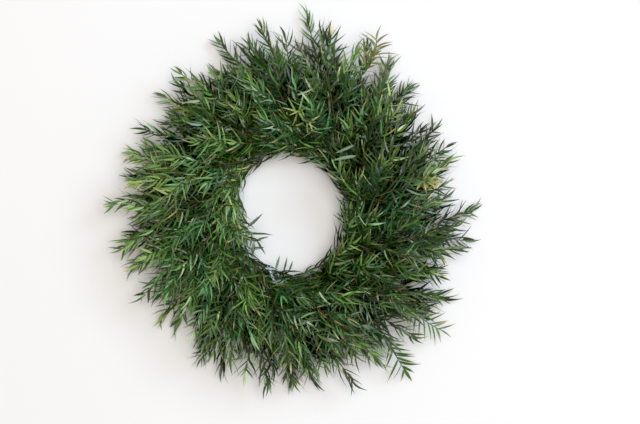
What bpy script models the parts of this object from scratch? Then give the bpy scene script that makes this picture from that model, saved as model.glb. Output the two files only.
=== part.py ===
"""Leaf wreath: evergreen sprigs bound with florist's wire to a hoop of three twisted vines.

The wreath lies on its back in the XY plane, with its front up (+Z) and its top towards +Y. Everything is in
metres. The origin is the middle of the wreath's outline, on the surface that it lies on. The sprigs all lie the
same way round: each butt is tied to the hoop, and its tip swings counter-clockwise and outwards.
"""

from collections import namedtuple

import bmesh
import bpy
import numpy as np
from mathutils import Vector
from mathutils.bvhtree import BVHTree

# Clearance between neighbouring pieces
GAP = 0.0003

# The hoop: three vines wound round a common centre line and pressed flat at the back
HOOP_CENTRE = (0.0008, -0.0097)
HOOP_RADIUS = 0.055
VINE_COUNT = 3
VINE_RADIUS = 0.0020
VINE_OFFSET = 0.0028
VINE_TURNS = 4
VINE_STATIONS = 48
VINE_SIDES = 6
VINE_PRESS = 0.0005

# The binding wire: one turn for each tie, and a tail that pokes into the hole
WIRE_RADIUS = 0.0003
WIRE_TURN_RADIUS = 0.0079
WIRE_STATIONS_PER_TURN = 12
WIRE_SIDES = 4
WIRE_TURN_COUNT = 26
WIRE_START = 265.5
WIRE_END_TURN = 25.75
WIRE_TAIL = ((-0.0035, -0.0010), (-0.0070, 0.0010), (-0.0095, 0.0045))

# Heights: the wire lies on the surface, and the hoop's pressed back clears the wire that passes under it
WIRE_LOW = WIRE_RADIUS * np.cos(np.pi / WIRE_SIDES)
BACK_HEIGHT = 2 * WIRE_LOW + GAP
HOOP_HEIGHT = BACK_HEIGHT + VINE_OFFSET + VINE_RADIUS * np.cos(np.pi / VINE_SIDES) - VINE_PRESS

# The sprigs: a twig that tapers from butt to tip, and leaves along it
TWIG_RADIUS = 0.0009
TWIG_TIP_RADIUS = 0.0005
TWIG_STATIONS = 13
TWIG_SEAT = VINE_OFFSET + VINE_RADIUS + GAP + TWIG_RADIUS
BUTT_BEFORE_TIE = 0.0045
BOUND_AFTER_TIE = 0.0020
SPRING_CLEAR = 0.0045
SPRING_SHARE = 0.10
ARCH_TURN = 0.6 * np.pi
LEAF_LENGTH = 0.0165
LEAF_LEAN = np.radians(40.0)
LEAF_SHARES = (1.0, 0.75, 0.5)
TIP_LEAF_LENGTH = 0.0110
FIRST_LEAFY_STATION = 3

# How far the foliage reaches from the hoop's centre, at each clock angle in degrees from +X
OUTLINE = (
    (0, 0.139), (12, 0.129), (30, 0.134), (40, 0.128), (52, 0.146), (63, 0.151), (72, 0.143), (86, 0.157),
    (100, 0.148), (115, 0.145), (125, 0.145), (133, 0.138), (142, 0.141), (158, 0.133), (180, 0.144),
    (190, 0.137), (202, 0.142), (215, 0.138), (230, 0.131), (250, 0.141), (262, 0.130), (280, 0.131),
    (292, 0.140), (306, 0.150), (320, 0.149), (332, 0.140), (345, 0.134),
)

# The four rows of sprigs. Seat is where a twig lies round the hoop's section: 0 is outwards, 90 is on top.
# Reach is the share of the outline that its tip comes to, swing is how far it goes round, and rise is how high
# it arches above its seat.
Row = namedtuple("Row", "seat reach swing rise")
OUTER = Row(seat=5.0, reach=0.98, swing=35.0, rise=0.003)
MIDDLE = Row(seat=65.0, reach=1.0, swing=31.0, rise=0.013)
CROWN = Row(seat=118.0, reach=0.94, swing=40.0, rise=0.026)
INNER = Row(seat=155.0, reach=0.42, swing=50.0, rise=0.013)
ROWS_AT_TIE = ((OUTER, INNER), (MIDDLE, CROWN))

# One inner sprig has slipped and points into the hole
STRAY_TIE = 18
STRAY_REACH = 0.30

BARK = (0.23, 0.13, 0.07)
LEAF_GREEN = (0.05, 0.16, 0.05)
WIRE_GREY = (0.55, 0.60, 0.66)


def material(name, colour, roughness, metallic=0.0):
    """A plain Principled material."""
    made = bpy.data.materials.new(name)
    made.use_nodes = True
    shader = made.node_tree.nodes["Principled BSDF"]
    shader.inputs["Base Color"].default_value = (*colour, 1.0)
    shader.inputs["Roughness"].default_value = roughness
    shader.inputs["Metallic"].default_value = metallic
    return made


def add_object(name, bm, finish, crease=40.0):
    """Turn a bmesh into a named object whose faces point out."""
    bmesh.ops.recalc_face_normals(bm, faces=bm.faces)
    mesh = bpy.data.meshes.new(name)
    bm.to_mesh(mesh)
    bm.free()
    mesh.materials.append(finish)
    mesh.shade_smooth()
    mesh.set_sharp_from_angle(angle=np.radians(crease))
    made = bpy.data.objects.new(name, mesh)
    bpy.context.scene.collection.objects.link(made)
    return made


def from_hoop(angle, radius, height):
    """Points given by angle round the hoop, distance from its centre and height, as an array of x, y, z."""
    x = HOOP_CENTRE[0] + radius * np.cos(angle)
    y = HOOP_CENTRE[1] + radius * np.sin(angle)
    return np.stack(np.broadcast_arrays(x, y, height), axis=-1)


def round_hoop(angle):
    """The direction that runs counter-clockwise along the hoop at each angle."""
    return np.stack((-np.sin(angle), np.cos(angle), np.zeros_like(angle)), axis=-1)


def rings_along(path, radii, sides, facing):
    """Rings of points round a path. The first point of a ring lies half a side away from the facing direction."""
    along = np.gradient(path, axis=0)
    along /= np.linalg.norm(along, axis=1, keepdims=True)
    top = facing - np.sum(facing * along, axis=1, keepdims=True) * along
    top /= np.linalg.norm(top, axis=1, keepdims=True)
    across = np.cross(along, top)
    turn = 2 * np.pi * (np.arange(sides) + 0.5) / sides
    spokes = top[:, None] * np.cos(turn)[None, :, None] + across[:, None] * np.sin(turn)[None, :, None]
    return path[:, None] + radii[:, None, None] * spokes


def tube(rings, closed):
    """A bmesh skin over rings of points, with its faces as faces[station][side]; open tubes get end caps."""
    bm = bmesh.new()
    loops = [[bm.verts.new(point) for point in ring] for ring in rings]
    count, sides = len(loops), len(loops[0])
    faces = []
    for station in range(count if closed else count - 1):
        here, there = loops[station], loops[(station + 1) % count]
        faces.append([
            bm.faces.new((here[k], here[(k + 1) % sides], there[(k + 1) % sides], there[k]))
            for k in range(sides)
        ])
    if not closed:
        bm.faces.new(reversed(loops[0]))
        faces.append([bm.faces.new(loops[-1])])
    bm.normal_update()
    return bm, faces


def vine(number):
    """One vine of the hoop: a closed helix round the hoop's centre line, pressed flat where it meets the back."""
    angle = 2 * np.pi * np.arange(VINE_STATIONS) / VINE_STATIONS
    phase = VINE_TURNS * angle + 2 * np.pi * number / VINE_COUNT
    radius = HOOP_RADIUS + VINE_OFFSET * np.cos(phase)
    height = HOOP_HEIGHT + VINE_OFFSET * np.sin(phase)
    turn = 2 * np.pi * np.arange(VINE_SIDES) / VINE_SIDES
    rings = from_hoop(
        angle[:, None],
        radius[:, None] + VINE_RADIUS * np.cos(turn),
        height[:, None] + VINE_RADIUS * np.sin(turn),
    )
    rings[..., 2] = np.maximum(rings[..., 2], BACK_HEIGHT)
    return tube(rings, closed=True)[0]


def wire_angle(turn):
    """The angle round the hoop that the wire has reached after a number of turns, which start under the hoop."""
    return np.radians(WIRE_START + 360.0 * np.asarray(turn) / WIRE_TURN_COUNT)


def binding_wire():
    """The wire: a long coil round the hoop and the twigs, flat where it lies on the surface, ending in a tail."""
    turn = np.arange(0.0, WIRE_END_TURN, 1.0 / WIRE_STATIONS_PER_TURN)
    around = 2 * np.pi * turn - np.pi / 2
    radius = HOOP_RADIUS + WIRE_TURN_RADIUS * np.cos(around)
    height = np.maximum(HOOP_HEIGHT + WIRE_TURN_RADIUS * np.sin(around), WIRE_LOW)
    angle = wire_angle(turn)
    tail = np.array(WIRE_TAIL)
    angle = np.append(angle, np.full(len(tail), wire_angle(WIRE_END_TURN)))
    radius = np.append(radius, HOOP_RADIUS - WIRE_TURN_RADIUS + tail[:, 0])
    height = np.append(height, HOOP_HEIGHT + tail[:, 1])
    path = from_hoop(angle, radius, height)
    rings = rings_along(path, np.full(len(path), WIRE_RADIUS), WIRE_SIDES, round_hoop(angle))
    return tube(rings, closed=False)[0]


def sway(number, phase):
    """A natural-looking variation between -1 and 1 that is the same each time for one sprig."""
    return np.sin(2.4 * number + phase) * np.cos(5.1 * number + 2.0 * phase)


def twig_path(tie, row, number):
    """The middle line of a sprig's twig.

    It lies along the hoop under its turn of wire, then springs clear of the wire square to the hoop's section.
    From there t runs from 0 to 1: the angle it has gone round grows as 1.6 t - 0.6 t^2 and its distance from the
    hoop's centre as t^1.5, so that it swings outwards, while its height follows part of a sine, as an arch.
    """
    seat = np.radians(row.seat)
    seat_radius = HOOP_RADIUS + TWIG_SEAT * np.cos(seat)
    seat_height = HOOP_HEIGHT + TWIG_SEAT * np.sin(seat)
    tied = wire_angle(tie + (row.seat + 90.0) / 360.0)
    free = tied + BOUND_AFTER_TIE / seat_radius
    swing = np.radians(row.swing) * (1 + 0.15 * sway(number, 0.0))
    bearing, distance = zip(*OUTLINE)
    outline = np.interp(np.degrees(free + swing), bearing, distance, period=360.0)
    reach = STRAY_REACH if (tie == STRAY_TIE and row is INNER) else row.reach
    tip_radius = reach * (outline - TIP_LEAF_LENGTH) + 0.003 * sway(number, 1.0)
    rise = row.rise * (1 + 0.25 * sway(number, 2.0))

    t = np.linspace(0.0, 1.0, TWIG_STATIONS)
    sprung = SPRING_CLEAR * (1 - np.exp(-((t / SPRING_SHARE) ** 2)))
    angle = free + swing * (1.6 * t - 0.6 * t**2)
    radius = seat_radius + (tip_radius - seat_radius) * t**1.5 + sprung * np.cos(seat)
    height = seat_height + rise * np.sin(ARCH_TURN * t) + sprung * np.sin(seat)
    butt = tied - BUTT_BEFORE_TIE / seat_radius
    angle = np.append(butt, angle)
    return from_hoop(angle, np.append(seat_radius, radius), np.append(seat_height, height))


def twig(path):
    """A bare twig along a path, square in section, with its flat sides facing up, down, left and right."""
    radii = np.linspace(TWIG_RADIUS, TWIG_TIP_RADIUS, len(path))
    up = np.tile((0.0, 0.0, 1.0), (len(path), 1))
    return tube(rings_along(path, radii, 4, up), closed=False)


def room_for_leaf(corners, base, tip):
    """The space a leaf needs, as a search tree: a six-sided block round it with the clearance on every side."""
    lead = (tip - base).normalized()
    near = [base + (corner - base) * 1.4 + lead * GAP for corner in corners]
    far = [tip + (corner - base).normalized() * (2 * GAP) + lead * GAP for corner in corners]
    ring = [(k, (k + 1) % 4, 4 + (k + 1) % 4, 4 + k) for k in range(4)]
    return BVHTree.FromPolygons(near + far, [(3, 2, 1, 0), (4, 5, 6, 7), *ring])


def grow_leaf(bm, face, forward, outward, length, neighbours):
    """Draw a face of the twig out to a leaf's tip, shortened or left out where it would meet a neighbour."""
    base = face.calc_center_median()
    corners = [vert.co.copy() for vert in face.verts]
    direction = (forward * np.cos(LEAF_LEAN) + outward * np.sin(LEAF_LEAN)).normalized()
    for share in LEAF_SHARES:
        tip = base + direction * (length * share)
        tip.z = max(tip.z, 2 * GAP)
        room = room_for_leaf(corners, base, tip)
        if not any(tree.overlap(room) for tree in neighbours):
            grown = bmesh.ops.poke(bm, faces=[face])
            grown["verts"][0].co = tip
            return


def grow_leaves(bm, faces, path, number, neighbours):
    """Leaves in pairs left and right of the twig, with single ones above and below between the pairs."""
    for station in range(FIRST_LEAFY_STATION, len(faces) - 1):
        forward = Vector(path[station + 1] - path[station]).normalized()
        sides = [k for k, face in enumerate(faces[station]) if (abs(face.normal.z) < 0.6) == (station % 2 == 0)]
        for side in sides:
            face = faces[station][side]
            length = LEAF_LENGTH * (1 + 0.15 * sway(number + station, float(side)))
            grow_leaf(bm, face, forward, face.normal.copy(), length, neighbours)
    end = faces[-1][0]
    forward = Vector(path[-1] - path[-2]).normalized()
    grow_leaf(bm, end, forward, forward, TIP_LEAF_LENGTH, neighbours)


for old in list(bpy.data.objects):
    bpy.data.objects.remove(old, do_unlink=True)

bark = material("vine_bark", BARK, 0.8)
leaf = material("leaf", LEAF_GREEN, 0.55)
steel = material("wire", WIRE_GREY, 0.35, metallic=1.0)

obstacles = []
for number in range(VINE_COUNT):
    bm = vine(number)
    obstacles.append(BVHTree.FromBMesh(bm))
    add_object(f"vine_strand_{number + 1}", bm, bark)

bm = binding_wire()
obstacles.append(BVHTree.FromBMesh(bm))
add_object("binding_wire", bm, steel)

twigs = []
for tie in range(WIRE_TURN_COUNT):
    for row in ROWS_AT_TIE[tie % 2]:
        number = len(twigs) + 1
        path = twig_path(tie, row, number)
        twigs.append((number, path, *twig(path)))

trees = [BVHTree.FromBMesh(bm) for _, _, bm, _ in twigs]
for place, (number, path, bm, faces) in enumerate(twigs):
    others = obstacles + trees[:place] + trees[place + 1:]
    grow_leaves(bm, faces, path, number, others)
    trees[place] = BVHTree.FromBMesh(bm)
    add_object(f"sprig_{number:02d}", bm, leaf)
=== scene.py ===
import bpy
import numpy as np
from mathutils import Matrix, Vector


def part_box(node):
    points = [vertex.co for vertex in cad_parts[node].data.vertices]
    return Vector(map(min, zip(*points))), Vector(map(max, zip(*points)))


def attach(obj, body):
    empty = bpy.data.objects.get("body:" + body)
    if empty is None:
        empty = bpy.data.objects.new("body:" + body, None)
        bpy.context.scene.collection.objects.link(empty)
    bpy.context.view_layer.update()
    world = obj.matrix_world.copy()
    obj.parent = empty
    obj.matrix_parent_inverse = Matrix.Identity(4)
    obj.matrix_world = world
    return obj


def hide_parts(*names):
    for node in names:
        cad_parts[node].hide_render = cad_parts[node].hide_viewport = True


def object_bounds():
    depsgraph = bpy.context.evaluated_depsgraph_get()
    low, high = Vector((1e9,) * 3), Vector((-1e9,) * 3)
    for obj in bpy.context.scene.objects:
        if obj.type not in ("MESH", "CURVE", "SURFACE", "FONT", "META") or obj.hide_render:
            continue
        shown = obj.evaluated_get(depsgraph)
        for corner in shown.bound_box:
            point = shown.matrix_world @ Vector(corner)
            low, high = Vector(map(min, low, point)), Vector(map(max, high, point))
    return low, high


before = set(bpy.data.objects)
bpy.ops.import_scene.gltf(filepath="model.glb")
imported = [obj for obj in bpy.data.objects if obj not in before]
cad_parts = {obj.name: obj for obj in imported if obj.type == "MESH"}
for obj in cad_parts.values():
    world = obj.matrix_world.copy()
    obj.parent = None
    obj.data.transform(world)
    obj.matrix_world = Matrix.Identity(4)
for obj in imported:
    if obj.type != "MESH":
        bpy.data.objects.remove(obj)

cad_box = [list(corner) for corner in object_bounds()]


# ---- Hoop ----------------------------------------------------------------------------------------
# Three thin vines, wound round each other while green and dried as a hoop. Their bark is brown and ribbed
# lengthways, swollen where leaves grew, and the back is pressed flat so that the wreath lies still.

VINE_OFFSET = 0.0028
VINE_RADIUS = 0.0020
VINE_TURNS = 4
VINE_COUNT = 3
VINE_STATIONS = 420
VINE_SIDES = 20
VINE_RIB_DEPTH = 0.00010
VINE_RIBS = 7
VINE_KNOT_SWELL = 0.00022
VINE_KNOTS = 9
VINE_KNOT_SHARPNESS = 12
VINE_UNEVENNESS = 0.00008
VINE_UNEVEN_WAVES = 5
VINE_RIB_SWAY = 3
VINE_RIB_SWAYS = 2
VINE_TOP_CORNER = np.pi / 3
VINE_BARK_DARK = (0.055, 0.030, 0.017, 1.0)
VINE_BARK_PALE = (0.230, 0.140, 0.085, 1.0)
VINE_PATCH_DARK = (0.05, 0.035, 0.02, 1)
VINE_PATCH_PALE = (0.30, 0.19, 0.12, 1)
VINE_PATCH_SHARE = 0.45
VINE_STREAK_LENGTHS = 60.0
FINE_MOTTLE_SHARE = 0.35
SHARP_ANGLE = 55.0

hoop_low, hoop_high = (np.array(corner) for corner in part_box("vine_strand_1"))
hoop_centre = (hoop_low + hoop_high)[:2] / 2
hoop_radius = (hoop_high - hoop_low)[0] / 2 - VINE_OFFSET - VINE_RADIUS
hoop_back = hoop_low[2]
hoop_height = hoop_high[2] - VINE_OFFSET - VINE_RADIUS * np.sin(VINE_TOP_CORNER)


def from_hoop(angle, radius, height):
    """Points as x, y, z from the angle round the hoop, the distance from its centre and the height."""
    x = hoop_centre[0] + radius * np.cos(angle)
    y = hoop_centre[1] + radius * np.sin(angle)
    return np.stack(np.broadcast_arrays(x, y, height), axis=-1)


def tube_quads(stations, sides, closed):
    """Faces of a tube whose points lie station by station: each joins one step along and one step round."""
    here = np.arange(stations if closed else stations - 1)[:, None]
    side = np.arange(sides)[None, :]
    there, beside = (here + 1) % stations, (side + 1) % sides
    skin = np.stack((
        here * sides + side, here * sides + beside, there * sides + beside, there * sides + side,
    ), -1)
    skin = skin.reshape(-1, 4)
    if closed:
        return skin
    step = np.arange(1, sides - 2, 2)
    cap = np.stack((np.zeros_like(step), step, step + 1, step + 2), -1)
    return np.concatenate((skin, cap[:, ::-1], cap + (stations - 1) * sides))


def quad_object(name, points, quads, materials, faces_of=None, at_points=(), at_faces=()):
    """An object at the origin from arrays of points and four-sided faces, smooth except at sharp edges."""
    mesh = bpy.data.meshes.new(name)
    mesh.vertices.add(len(points))
    mesh.vertices.foreach_set("co", points.astype(np.float32).ravel())
    mesh.loops.add(quads.size)
    mesh.loops.foreach_set("vertex_index", quads.astype(np.int32).ravel())
    mesh.polygons.add(len(quads))
    mesh.polygons.foreach_set("loop_start", np.arange(0, quads.size, 4, dtype=np.int32))
    for finish in materials:
        mesh.materials.append(finish)
    if faces_of is not None:
        mesh.polygons.foreach_set("material_index", faces_of.astype(np.int32))
    for domain, named in (("POINT", at_points), ("FACE", at_faces)):
        for label, values in dict(named).items():
            layer = mesh.attributes.new(label, "FLOAT", domain)
            layer.data.foreach_set("value", values.astype(np.float32).ravel())
    mesh.update(calc_edges=True)
    mesh.shade_smooth()
    mesh.set_sharp_from_angle(angle=np.radians(SHARP_ANGLE))
    made = bpy.data.objects.new(name, mesh)
    bpy.context.scene.collection.objects.link(made)
    return made


def vine_points(number):
    """One vine: a circle carried round a closed helix, ribbed by a cosine and swollen at its knots."""
    angle = 2 * np.pi * np.arange(VINE_STATIONS) / VINE_STATIONS
    phase = VINE_TURNS * angle + 2 * np.pi * number / VINE_COUNT
    turn = 2 * np.pi * np.arange(VINE_SIDES) / VINE_SIDES
    knot = np.maximum(np.cos(VINE_KNOTS * (angle + number)), 0.0) ** VINE_KNOT_SHARPNESS
    uneven = VINE_UNEVENNESS * np.sin(VINE_UNEVEN_WAVES * angle + 2 * number)
    girth = VINE_RADIUS - VINE_RIB_DEPTH + VINE_KNOT_SWELL * knot + uneven
    sway_of_ribs = VINE_RIB_SWAY * np.sin(VINE_RIB_SWAYS * angle)[:, None]
    ribs = VINE_RIB_DEPTH * np.cos(VINE_RIBS * turn[None, :] + sway_of_ribs)
    girth = girth[:, None] + ribs
    radius = hoop_radius + VINE_OFFSET * np.cos(phase)[:, None] + girth * np.cos(turn)
    height = hoop_height + VINE_OFFSET * np.sin(phase)[:, None] + girth * np.sin(turn)
    points = from_hoop(angle[:, None], radius, np.maximum(height, hoop_back))
    return points.reshape(-1, 3), np.repeat(angle * hoop_radius, VINE_SIDES), np.tile(turn, VINE_STATIONS)


def node_at(tree, kind, **settings):
    """A shader node with its settings; a setting named after an input socket fills that socket."""
    made = tree.nodes.new(kind)
    for label, value in settings.items():
        if hasattr(made, label):
            setattr(made, label, value)
        else:
            made.inputs[label.replace("_", " ")].default_value = value
    return made


def mottle_group():
    """Natural mottling of bark and leaves: two scales of noise on given coordinates, as a mask 0 to 1."""
    group = bpy.data.node_groups.new("natural mottle", "ShaderNodeTree")
    group.interface.new_socket("Vector", in_out="INPUT", socket_type="NodeSocketVector")
    for label, start in (("Coarse Scale", 100.0), ("Fine Scale", 900.0), ("Contrast", 1.0)):
        socket = group.interface.new_socket(label, in_out="INPUT", socket_type="NodeSocketFloat")
        socket.default_value = start
    group.interface.new_socket("Mask", in_out="OUTPUT", socket_type="NodeSocketFloat")
    given = group.nodes.new("NodeGroupInput")
    result = group.nodes.new("NodeGroupOutput")
    coarse = node_at(group, "ShaderNodeTexNoise", Detail=3.0, Roughness=0.6)
    fine = node_at(group, "ShaderNodeTexNoise", Detail=2.0, Roughness=0.5)
    mixed = node_at(group, "ShaderNodeMix", data_type="FLOAT")
    mixed.inputs["Factor"].default_value = FINE_MOTTLE_SHARE
    centred = node_at(group, "ShaderNodeMath", operation="SUBTRACT")
    centred.inputs[1].default_value = 0.5
    stretched = node_at(group, "ShaderNodeMath", operation="MULTIPLY_ADD", use_clamp=True)
    stretched.inputs[2].default_value = 0.5
    group.links.new(given.outputs["Vector"], coarse.inputs["Vector"])
    group.links.new(given.outputs["Vector"], fine.inputs["Vector"])
    group.links.new(given.outputs["Coarse Scale"], coarse.inputs["Scale"])
    group.links.new(given.outputs["Fine Scale"], fine.inputs["Scale"])
    group.links.new(coarse.outputs["Fac"], mixed.inputs["A"])
    group.links.new(fine.outputs["Fac"], mixed.inputs["B"])
    group.links.new(mixed.outputs["Result"], centred.inputs[0])
    group.links.new(centred.outputs[0], stretched.inputs[0])
    group.links.new(given.outputs["Contrast"], stretched.inputs[1])
    group.links.new(stretched.outputs[0], result.inputs["Mask"])
    return group


natural_mottle = mottle_group()


def mottled(tree, vector, coarse, fine, contrast):
    """The mottling group placed in a material with its own values; gives its mask."""
    placed = tree.nodes.new("ShaderNodeGroup")
    placed.node_tree = natural_mottle
    tree.links.new(vector, placed.inputs["Vector"])
    placed.inputs["Coarse Scale"].default_value = coarse
    placed.inputs["Fine Scale"].default_value = fine
    placed.inputs["Contrast"].default_value = contrast
    return placed.outputs["Mask"]


def attribute(tree, label):
    """The value of one of the mesh's own attributes."""
    return node_at(tree, "ShaderNodeAttribute", attribute_name=label).outputs["Fac"]


def mix_colour(tree, factor, first, second, blend="MIX"):
    """Blend two colours, each given as a socket or as fixed red, green, blue and alpha, by a factor."""
    mix = node_at(tree, "ShaderNodeMix", data_type="RGBA", blend_type=blend)
    for label, value in (("Factor", factor), ("A", first), ("B", second)):
        socket = mix.inputs[label]
        if isinstance(value, bpy.types.NodeSocket):
            tree.links.new(value, socket)
        else:
            socket.default_value = value
    return mix.outputs["Result"]


def calculate(tree, operation, *values, clamp=False):
    """One sum on sockets or numbers."""
    made = node_at(tree, "ShaderNodeMath", operation=operation, use_clamp=clamp)
    for socket, value in zip(made.inputs, values):
        if isinstance(value, bpy.types.NodeSocket):
            tree.links.new(value, socket)
        else:
            socket.default_value = value
    return made.outputs[0]


def ramp(tree, factor, stops):
    """A colour ramp through (position, colour) stops."""
    made = node_at(tree, "ShaderNodeValToRGB")
    tree.links.new(factor, made.inputs["Fac"])
    elements = made.color_ramp.elements
    while len(elements) < len(stops):
        elements.new(0.5)
    for element, (position, colour) in zip(elements, stops):
        element.position = position
        element.color = colour
    return made.outputs["Color"]


def vine_bark():
    """Dry vine bark: brown, streaked along the vine, with paler worn ribs and a fine cracked bump."""
    made = bpy.data.materials.new("vine bark")
    made.use_nodes = True
    tree = made.node_tree
    shader = tree.nodes["Principled BSDF"]
    along = attribute(tree, "along")
    turn = attribute(tree, "turn")
    grain = node_at(tree, "ShaderNodeCombineXYZ")
    tree.links.new(calculate(tree, "MULTIPLY", along, VINE_STREAK_LENGTHS), grain.inputs["X"])
    tree.links.new(calculate(tree, "SINE", turn), grain.inputs["Y"])
    tree.links.new(calculate(tree, "COSINE", turn), grain.inputs["Z"])
    streaks = mottled(tree, grain.outputs["Vector"], coarse=2.5, fine=7.0, contrast=2.6)
    place = node_at(tree, "ShaderNodeTexCoord").outputs["Object"]
    patches = mottled(tree, place, coarse=60.0, fine=700.0, contrast=2.0)
    brown = mix_colour(tree, streaks, VINE_BARK_DARK, VINE_BARK_PALE)
    patched = mix_colour(tree, patches, VINE_PATCH_DARK, VINE_PATCH_PALE)
    brown = mix_colour(tree, VINE_PATCH_SHARE, brown, patched)
    tree.links.new(brown, shader.inputs["Base Color"])
    shader.inputs["Roughness"].default_value = 0.82
    bump = node_at(tree, "ShaderNodeBump", Strength=0.7, Distance=0.0004)
    tree.links.new(streaks, bump.inputs["Height"])
    tree.links.new(bump.outputs["Normal"], shader.inputs["Normal"])
    return made


vine_finish = vine_bark()
for number in range(VINE_COUNT):
    points, along, turn = vine_points(number)
    vine = quad_object(
        f"twisted_vine_{number + 1}", points, tube_quads(VINE_STATIONS, VINE_SIDES, closed=True),
        [vine_finish], at_points={"along": along, "turn": turn},
    )
    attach(vine, "root")
    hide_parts(f"vine_strand_{number + 1}")


# ---- Binding wire --------------------------------------------------------------------------------
# One length of bright galvanised florist's wire, wound round the hoop and the butts of the sprigs. Its two
# ends meet at the inner side of the hoop, where they are twisted together and bent over the leaves.

WIRE_RADIUS = 0.0003
WIRE_TURN_RADIUS = 0.0079
WIRE_TURN_COUNT = 26
WIRE_START = 265.5
WIRE_FIRST_TURN = -0.25
WIRE_LAST_TURN = 25.75
WIRE_STATIONS_PER_TURN = 32
WIRE_SIDES = 8
WIRE_LOW = 0.00031
TAIL_ROUTE = (
    (0.0, 0.0, 0.0), (0.0045, 0.0140, -0.0010), (0.0070, 0.0210, -0.0044), (0.0018, 0.0205, -0.0088),
    (-0.0033, 0.0185, -0.0135),
)
TAIL_STATIONS = 44
TAIL_TWISTS = 4.5
TAIL_SPREAD = 0.00115
TAIL_FLARE = 2.5
TAIL_FLARES_FROM = 0.8
TAIL_FLATNESS = 0.4
WIRE_BRIGHT = (0.68, 0.80, 0.92, 1.0)
WIRE_DULL = (0.40, 0.47, 0.55, 1.0)


def wire_angle(turn):
    """The angle round the hoop that the wire has reached after a number of turns."""
    return np.radians(WIRE_START + 360.0 * turn / WIRE_TURN_COUNT)


def rings_along(path, radii, sides, facing):
    """Rings of points carried along a path, each square to it and with its top facing a given way."""
    heading = np.gradient(path, axis=0)
    heading /= np.linalg.norm(heading, axis=1, keepdims=True)
    top = facing - np.sum(facing * heading, axis=1, keepdims=True) * heading
    top /= np.linalg.norm(top, axis=1, keepdims=True)
    across = np.cross(heading, top)
    turn = 2 * np.pi * (np.arange(sides) + 0.5) / sides
    spokes = top[:, None] * np.cos(turn)[None, :, None] + across[:, None] * np.sin(turn)[None, :, None]
    return path[:, None] + radii[:, None, None] * spokes


def wire_tail(lag):
    """One of the two twisted ends: a helix round the tail's route, set off from the other by its lag."""
    share = np.linspace(0.0, 1.0, TAIL_STATIONS)
    marks = np.linspace(0.0, 1.0, len(TAIL_ROUTE))
    route = np.array(TAIL_ROUTE)
    inward = np.interp(share, marks, route[:, 0])
    upward = np.interp(share, marks, route[:, 1])
    onward = np.interp(share, marks, route[:, 2])
    spread = TAIL_SPREAD * (1 + TAIL_FLARE * np.clip(share - TAIL_FLARES_FROM, 0, 1))
    twist = 2 * np.pi * TAIL_TWISTS * share + lag
    angle = wire_angle(WIRE_LAST_TURN) + (onward + spread * np.cos(twist)) / hoop_radius
    radius = hoop_radius - WIRE_TURN_RADIUS + inward + TAIL_FLATNESS * spread * np.sin(twist)
    return from_hoop(angle, radius, hoop_height + upward + spread * np.sin(twist))


def wire_path():
    """The whole wire: in along one tail, round the hoop as a coil flattened underneath, and out again."""
    stations = int((WIRE_LAST_TURN - WIRE_FIRST_TURN) * WIRE_STATIONS_PER_TURN)
    turn = np.linspace(WIRE_FIRST_TURN, WIRE_LAST_TURN, stations)[1:-1]
    around = 2 * np.pi * turn - np.pi / 2
    radius = hoop_radius + WIRE_TURN_RADIUS * np.cos(around)
    height = np.maximum(hoop_height + WIRE_TURN_RADIUS * np.sin(around), WIRE_LOW)
    coil = from_hoop(wire_angle(turn), radius, height)
    return np.concatenate((wire_tail(0.0)[::-1], coil, wire_tail(np.pi)))


def galvanised():
    """Galvanised steel: bright blue-grey, with duller patches in the zinc."""
    made = bpy.data.materials.new("galvanised wire")
    made.use_nodes = True
    tree = made.node_tree
    shader = tree.nodes["Principled BSDF"]
    place = node_at(tree, "ShaderNodeTexCoord").outputs["Object"]
    zinc = mottled(tree, place, coarse=500.0, fine=2500.0, contrast=3.0)
    tree.links.new(mix_colour(tree, zinc, WIRE_DULL, WIRE_BRIGHT), shader.inputs["Base Color"])
    tree.links.new(calculate(tree, "MULTIPLY_ADD", zinc, -0.2, 0.45), shader.inputs["Roughness"])
    shader.inputs["Metallic"].default_value = 0.5
    return made


path = wire_path()
outward = path - np.append(hoop_centre, hoop_height)
sideways = np.stack((-outward[:, 1], outward[:, 0], np.zeros(len(path))), axis=-1)
sideways /= np.linalg.norm(sideways, axis=1, keepdims=True)
rings = rings_along(path, np.full(len(path), WIRE_RADIUS), WIRE_SIDES, sideways)
wire = quad_object(
    "florist_wire", rings.reshape(-1, 3), tube_quads(len(path), WIRE_SIDES, closed=False), [galvanised()]
)
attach(wire, "root")
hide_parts("binding_wire")


# ---- Sprigs --------------------------------------------------------------------------------------
# Fifty-two cut sprigs of a narrow-leaved evergreen. Each has a thin red-brown twig that turns green towards
# its tips, up to a dozen side shoots, and leaves set round them in a spiral. The butts are tied to the hoop
# and the tips swing counter-clockwise, most of them outwards.

TWIG_RADIUS = 0.0009
TWIG_TIP_RADIUS = 0.00035
TWIG_SIDES = 6
TWIG_STEPS = 44
TWIG_TAPER = 1.5
SEAT_GAP = 0.0003
TWIG_SEAT = VINE_OFFSET + VINE_RADIUS + SEAT_GAP + TWIG_RADIUS
BUTT_BEFORE_TIE = 0.0045
BOUND_AFTER_TIE = 0.0020
SPRING_CLEAR = 0.0045
SPRING_SHARE = 0.10
BOUND_POINTS = 3
SWING_VARIES = 0.15
TIP_VARIES = 0.003
RISE_VARIES = 0.25
ARCH_TURN = 0.6 * np.pi
TIP_LEAF_LENGTH = 0.0110

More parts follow.
